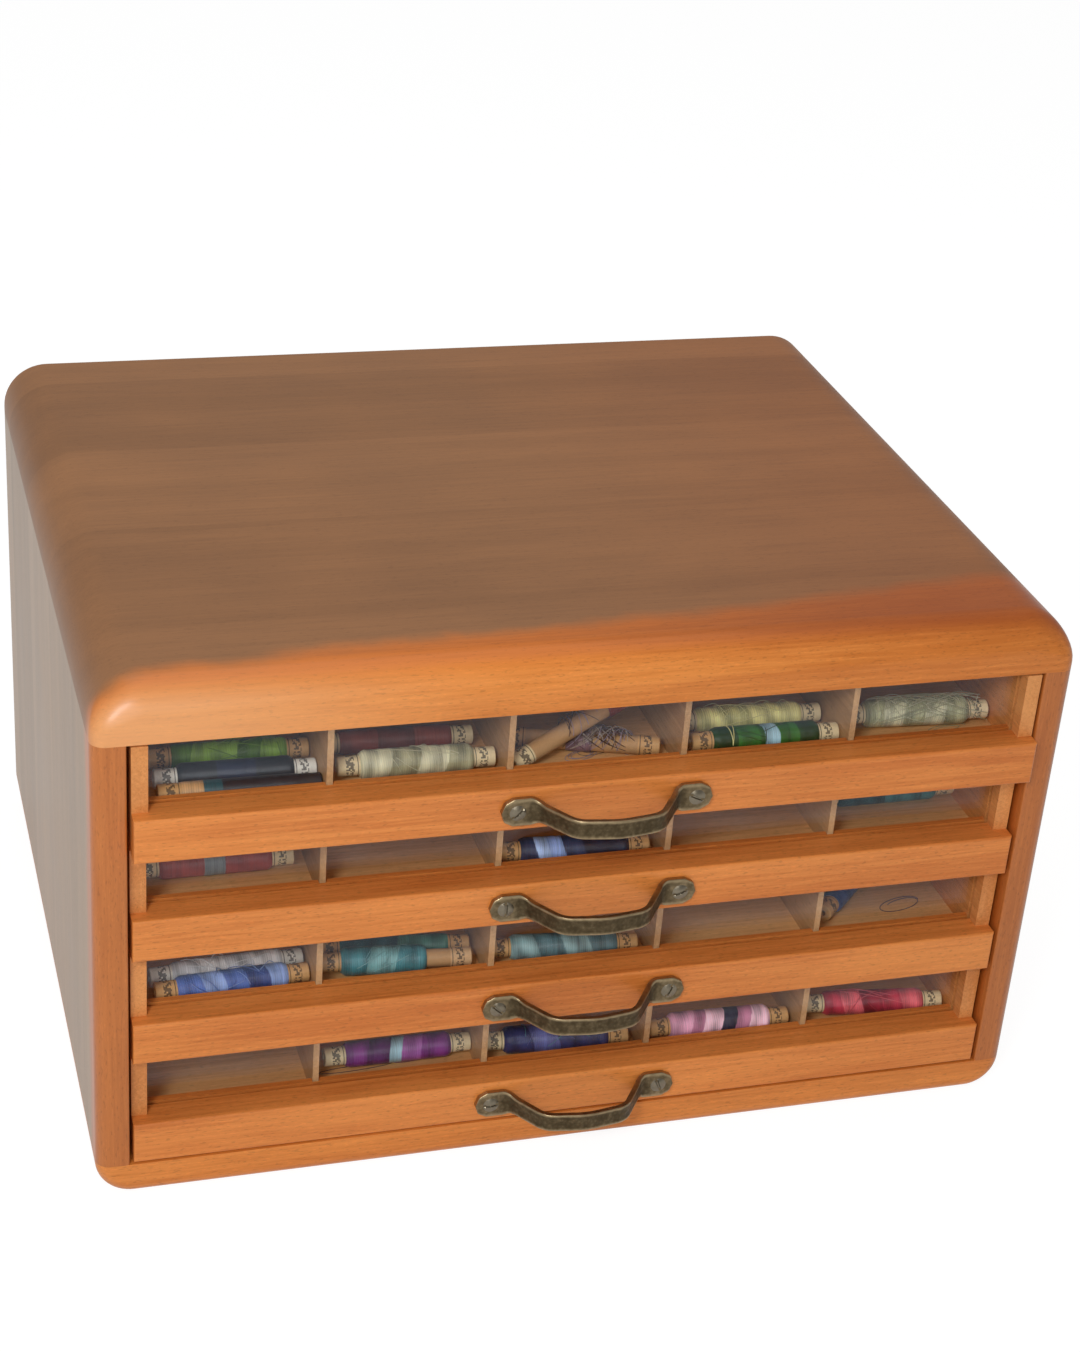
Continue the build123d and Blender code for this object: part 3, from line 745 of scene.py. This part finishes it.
navy, black = colour(40, 46, 66), colour(34, 37, 44)
leaf, moss = colour(128, 168, 58), colour(80, 118, 32)
maroon, oxblood = colour(132, 62, 50), colour(104, 50, 42)
olive_silk, olive_deep = colour(190, 188, 156), colour(150, 148, 116)
straw, straw_deep = colour(216, 210, 140), colour(190, 186, 118)
bottle, grass, foliage = colour(20, 56, 22), colour(44, 100, 34), colour(30, 78, 26)
sage, sage_pale = colour(156, 156, 120), colour(188, 186, 154)
blue, blue_pale, blue_deep = colour(76, 104, 168), colour(130, 156, 206), colour(48, 68, 120)
blue_ink, blue_glint, blue_night = colour(44, 56, 86), colour(158, 184, 224), colour(26, 34, 58)
teal, teal_pale, teal_deep = colour(62, 120, 128), colour(110, 160, 162), colour(36, 80, 88)
mist, mist_deep = colour(126, 158, 160), colour(84, 116, 122)
violet, violet_pale, violet_deep = colour(116, 42, 122), colour(150, 84, 156), colour(80, 26, 88)
indigo, indigo_pale = colour(40, 48, 92), colour(86, 92, 146)
rose_pink, pink_pale, pink_deep = colour(206, 150, 176), colour(232, 192, 208), colour(178, 118, 146)
crimson, coral, wine = colour(176, 52, 72), colour(212, 98, 108), colour(136, 30, 50)
silver, silver_pale = colour(196, 200, 204), colour(226, 228, 228)
band_blue, band_dark, band_grey = colour(150, 186, 198), colour(38, 40, 62), colour(120, 128, 130)
brick, brick_deep = colour(150, 62, 54), colour(116, 44, 40)

looks = {
    (1, 0, 0): ([(0, bare_card), (8, teal_deep), (15, black)], tan, black, 1, 0.05),
    (1, 0, 1): (even_bands(black, navy, black), white, white, 1, 0.05),
    (1, 0, 2): (even_bands(moss, leaf, leaf, moss, leaf), tan, tan, 3, 0.16),
    (1, 1, 0): (even_bands(olive_silk, olive_deep, olive_silk, olive_deep), cream, cream, 2, 0.08),
    (1, 1, 1): (even_bands(maroon, oxblood, maroon), cream, cream, 1, 0.14),
    (1, 2, 0): (even_bands(brick_deep), cream, cream, 1, 0.1),
    (1, 2, 1): (even_bands(colour(120, 96, 104)), tan, tan, 2, 0.1),
    (1, 3, 0): ([(0, bottle), (8, grass), (17, foliage), (19, band_blue), (25, grass), (33, bottle)],
                tan, cream, 2, 0.06),
    (1, 3, 1): (even_bands(straw, straw_deep, straw, straw), cream, cream, 3, 0.2),
    (1, 4, 0): (even_bands(sage, sage_pale, sage, sage_pale, sage), cream, cream, 4, 0.3),
    (2, 0, 0): ([(0, brick), (17, band_grey), (25, brick)], cream, cream, 1, 0.1),
    (2, 2, 0): ([(0, blue_ink), (7, blue_glint), (12, blue_pale), (18, blue_ink), (26, blue_night)],
                tan, tan, 2, 0.08),
    (2, 4, 0): (even_bands(teal_deep, teal), cream, cream, 2, 0.1),
    (3, 0, 0): (even_bands(blue, blue_pale, blue, blue_deep, blue_pale), tan, tan, 3, 0.14),
    (3, 0, 1): (even_bands(silver, silver_pale, silver, silver_pale), white, white, 2, 0.08),
    (3, 1, 0): (even_bands(teal, teal_pale, teal, width=33.5), tan, cork, 2, 0.1),
    (3, 1, 1): (even_bands(teal_deep, colour(70, 120, 108)), tan, tan, 2, 0.1),
    (3, 2, 0): (even_bands(mist, mist_deep, mist, mist_deep), tan, tan, 2, 0.1),
    (3, 4, 0): (even_bands(blue_deep, indigo), tan, tan, 2, 0.1),
    (4, 1, 0): ([(0, violet), (10, violet_deep), (19, band_blue), (24, violet_pale), (32, violet)],
                cream, cream, 2, 0.08),
    (4, 2, 0): (even_bands(indigo, indigo_pale, indigo, indigo), cream, tan, 3, 0.08),
    (4, 3, 0): ([(0, rose_pink), (9, pink_deep), (14, pink_pale), (22, band_dark), (28, pink_deep),
                 (34, pink_pale)], tan, tan, 2, 0.06),
    (4, 4, 0): (even_bands(crimson, coral, wine, crimson, coral), cream, cream, 4, 0.1),
}

# Threads that have come loose: by the same key, the shades, how many, where along the tube and how
# far from there they spread in mm, how far round they go, and how high they rise in mm.
lilac, umber = colour(150, 136, 150), colour(74, 54, 48)
ashen, chestnut = colour(166, 154, 142), colour(100, 74, 60)
loosened = {
    (1, 0, 2): ([leaf, moss], 10, 4, 16, 1.6, 0.9),
    (1, 1, 0): ([olive_silk], 8, 0, 18, 1.4, 0.8),
    (1, 2, 0): ([umber, lilac], 10, 2, 9, 4.0, 1.6),
    (1, 2, 1): ([umber, ashen, umber, chestnut, lilac], 100, 5, 15, 3.8, 3.4),
    (1, 3, 0): ([bottle], 4, 0, 16, 1.2, 0.6),
    (1, 3, 1): ([straw], 12, 0, 18, 1.8, 1.6),
    (1, 4, 0): ([sage, sage_pale, olive_deep], 60, 4, 25, 2.0, 1.8),
    (3, 0, 0): ([blue_pale, blue], 12, 0, 18, 1.8, 1.4),
    (3, 0, 1): ([silver_pale], 10, 0, 18, 1.6, 1.3),
    (3, 1, 0): ([teal_pale], 6, -6, 12, 1.6, 0.8),
    (4, 2, 0): ([teal, indigo_pale], 8, 0, 14, 2.2, 0.9),
    (4, 4, 0): ([coral, crimson], 8, 0, 16, 1.6, 0.7),
}
# Windings that stand fuller on top than their CAD sleeves, in mm, and slack threads that hang over
# the front of a winding: how far from its left end in mm, and the shade.
fuller = {(1, 0, 1): 1.0}
hung = {(1, 3, 0): (6, straw)}
# Slack ends on the drawer floors: drawer, place across and behind the rail's face, width and depth
# of the loops in mm, turns, and shade.
slack = [(1, -1.0, 31.0, 7.0, 4.0, 3.2, lilac), (1, 6.0, 35.0, 9.0, 5.0, 2.4, umber),
         (1, 150.0, 28.0, 9.0, 2.6, 1.6, sage), (3, 150.0, 36.0, 10.0, 5.0, 1.4, indigo),
         (4, -84.0, 28.0, 16.0, 2.0, 1.3, band_dark), (4, -60.0, 30.0, 10.0, 2.4, 0.9, violet_deep)]

# The print on a label is made of blocks in one row, behind a ruled line: places from the tube's
# middle, half widths and the block's size along the tube, in mm, and its share of a turn.
print_place, print_half = 25.4, 1.6
rule_place, rule_half = 22.4, 0.18
print_block = (0.62, 0.028, 1)

card = Finish("card_and_paper", {"Roughness": 0.62})
ink = card.node("ShaderNodeUVMap", {"uv_map": "wrap"}, {}, "UV")
along = card.node("ShaderNodeSeparateXYZ", {}, {0: ink}, "X")
blocks = card.node("ShaderNodeVectorMath", {"operation": "SNAP"}, {0: ink, 1: print_block})
spots = card.node("ShaderNodeTexWhiteNoise", {}, {"Vector": blocks})
from_middle = card.math("ABSOLUTE", along)
row = card.math("ABSOLUTE", from_middle - print_place)
printed = card.math("LESS_THAN", row, print_half) * card.math("GREATER_THAN", spots, 0.52)
rule_line = card.math("LESS_THAN", card.math("ABSOLUTE", from_middle - rule_place), rule_half)
fibres = card.noise(card.place(), 900, 3, 0.6)
shade = card.node("ShaderNodeAttribute", {"attribute_name": "tint"}, {}, "Color")
paper = card.shade(shade, 0.82 + 0.36 * fibres)
marks = card.math("MAXIMUM", printed, rule_line)
card.feed("Base Color", card.mix(marks * 0.8, paper, colour(52, 44, 38)))
card.bump(fibres, 0.2, 0.1 * mm)

silk = Finish("wound_thread", {"Sheen Weight": 0.08, "Sheen Roughness": 0.4, "Specular IOR Level": 0.45})
lay = silk.node("ShaderNodeUVMap", {"uv_map": "wrap"}, {}, "UV")
fine = silk.node("ShaderNodeTexWave", {"wave_type": "BANDS", "bands_direction": "X"},
                 {"Vector": lay, "Scale": 0.9, "Distortion": 0.8, "Detail": 2, "Detail Scale": 3.0}, "Fac")
dye = silk.node("ShaderNodeAttribute", {"attribute_name": "tint"}, {}, "Color")
silk.feed("Base Color", silk.shade(dye, 1.08 + 0.3 * fine))
silk.feed("Roughness", 0.34 + 0.18 * fine)
silk.bump(fine, 0.4, 0.08 * mm)

for number in range(1, 5):
    drawer = f"drawer_{number}"
    left_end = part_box(f"{drawer}_front_rail")[0].x + drawer_side_thick
    cores = sorted((spool_axis(points) for points in solids(f"{drawer}_spool_cores")),
                   key=lambda axis: (int((axis[0][0] - left_end) / divider_pitch), axis[0][1]))
    sleeves = [(points, (points.min(0) + points.max(0)) / 2) for points in solids(f"{drawer}_thread")]
    tubes, threads, count = [], [], {}
    for axis in cores:
        middle, heading, _, _, half = axis
        cell = int((middle[0] - left_end) / divider_pitch)
        order = count.get(cell, 0)
        count[cell] = order + 1
        bands, left, right, slant, rough = looks[number, cell, order]
        off = []
        for points, centre in sleeves:
            beyond = max(0, abs((centre - middle) @ heading) - half)
            off.append(np.linalg.norm(np.cross(centre - middle, heading)) + 10 * beyond)
        points = sleeves[int(np.argmin(off))][0] - middle
        reach = points @ heading
        thick = np.linalg.norm(points - reach[:, None] * heading, axis=1).max() - core_radius
        tubes.append(spool_tube(axis, left, right))
        seed = 100 * number + 10 * cell + order
        where = (number, cell, order)
        threads.append(winding(axis, (reach.min(), reach.max()), thick, bands, slant, rough * mm, seed,
                               fuller.get(where, 0.0) * mm))
        if where in loosened:
            shades, many, start, spread, sweep, lift = loosened[where]
            threads += strays(axis, thick, shades, many, start * mm, spread * mm, sweep, lift * mm, seed)
        if where in hung:
            start, shade = hung[where]
            threads.append(hanging(axis, thick, reach.min() + start * mm, shade))
    rail_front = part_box(f"{drawer}_front_rail")[0].y
    floor_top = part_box(f"{drawer}_floor")[1].z
    for index, (which, across, behind, wide, deep, turns, shade) in enumerate(slack):
        if which == number:
            centre = np.array([across * mm, rail_front + behind * mm, floor_top])
            threads.append(floor_loop(centre, wide * mm, deep * mm, turns, shade, index))
    piece(f"{drawer}_spools", tubes, drawer, card.material, [f"{drawer}_spool_cores"], 40)
    piece(f"{drawer}_windings", threads, drawer, silk.material, [f"{drawer}_thread"], 60)

# ---------------------------------------------------------------------------- floor and light
# A plain pale floor under soft studio light: a small softbox above and to the left of the camera,
# a wide one lower down that reaches into the drawers, one overhead, and an even pale sky. The floor
# glows for the camera and in mirrored light, and is lit like any floor for the rest.
target = np.array([-28.0, -150.0, 217.14]) * mm
azimuth, elevation, roll_angle = (math.radians(angle) for angle in (-18.064, 28.578, 4.5575))
distance = 931.4 * mm
lens = 68.5

floor_mesh = bpy.data.meshes.new("studio_floor")
floor_mesh.from_pydata([(-6, -6, 0), (6, -6, 0), (6, 6, 0), (-6, 6, 0)], [], [(0, 1, 2, 3)])
floor = bpy.data.objects.new("studio_floor", floor_mesh)
bpy.context.scene.collection.objects.link(floor)
pale = Finish("studio_floor", {"Base Color": colour(232, 232, 232), "Roughness": 0.9})
rays = pale.tree.nodes.new("ShaderNodeLightPath")
glow = pale.node("ShaderNodeEmission", {}, {"Color": (1, 1, 1, 1), "Strength": 1.2})
seen = 0.75 * Wire(pale, rays.outputs["Is Camera Ray"]) + 0.4 * Wire(pale, rays.outputs["Is Glossy Ray"])
blend = pale.node("ShaderNodeMixShader", {}, {0: seen, 1: Wire(pale, pale.principled.outputs[0]), 2: glow})
pale.tree.links.new(blend.socket, pale.tree.nodes["Material Output"].inputs["Surface"])
floor_mesh.materials.append(pale.material)

world = bpy.data.worlds.new("studio")
bpy.context.scene.world = world
world.use_nodes = True
sky = world.node_tree
sky.nodes["Background"].inputs["Color"].default_value = (1, 1, 1, 1)
ray = sky.nodes.new("ShaderNodeLightPath")
level = sky.nodes.new("ShaderNodeMapRange")
level.inputs["To Min"].default_value = 0.36
level.inputs["To Max"].default_value = 1.0
sky.links.new(ray.outputs["Is Camera Ray"], level.inputs["Value"])
sky.links.new(level.outputs[0], sky.nodes["Background"].inputs["Strength"])


def softbox(name, place, size, power):
    """A square lamp at a place, in metres, facing the cabinet."""
    lamp = bpy.data.lights.new(name, "AREA")
    lamp.size = size
    lamp.energy = power
    made = bpy.data.objects.new(name, lamp)
    bpy.context.scene.collection.objects.link(made)
    away = np.array(place) - target
    z = away / np.linalg.norm(away)
    x = np.cross(upward, z) + 1e-6 * rightward
    x /= np.linalg.norm(x)
    turn = np.eye(4)
    turn[:3, 0], turn[:3, 1], turn[:3, 2], turn[:3, 3] = x, np.cross(z, x), z, place
    made.matrix_world = Matrix(turn.tolist())


softbox("key", (-0.62, -1.05, 0.95), 0.27, 6.8)
softbox("low_fill", (-0.35, -1.5, 0.7), 0.7, 4.0)
softbox("overhead", (0.0, 0.3, 1.9), 1.4, 6.0)

# ---------------------------------------------------------------------------- camera
# The photograph's own standpoint, worked out from the cabinet's edges in it.
back = np.array([math.sin(azimuth) * math.cos(elevation), -math.cos(azimuth) * math.cos(elevation),
                 math.sin(elevation)])
right = np.array([math.cos(azimuth), math.sin(azimuth), 0])
up = np.cross(back, right)
turn = np.eye(4)
turn[:3, 0] = math.cos(roll_angle) * right + math.sin(roll_angle) * up
turn[:3, 1] = -math.sin(roll_angle) * right + math.cos(roll_angle) * up
turn[:3, 2] = back
turn[:3, 3] = target + distance * back
camera_data = bpy.data.cameras.new("camera")
camera_data.lens = lens
camera_data.sensor_width = 36
camera_data.clip_start = 0.01
camera = bpy.data.objects.new("camera", camera_data)
camera.matrix_world = Matrix(turn.tolist())
bpy.context.scene.collection.objects.link(camera)
bpy.context.scene.camera = camera
bpy.context.scene.view_settings.view_transform = "Standard"
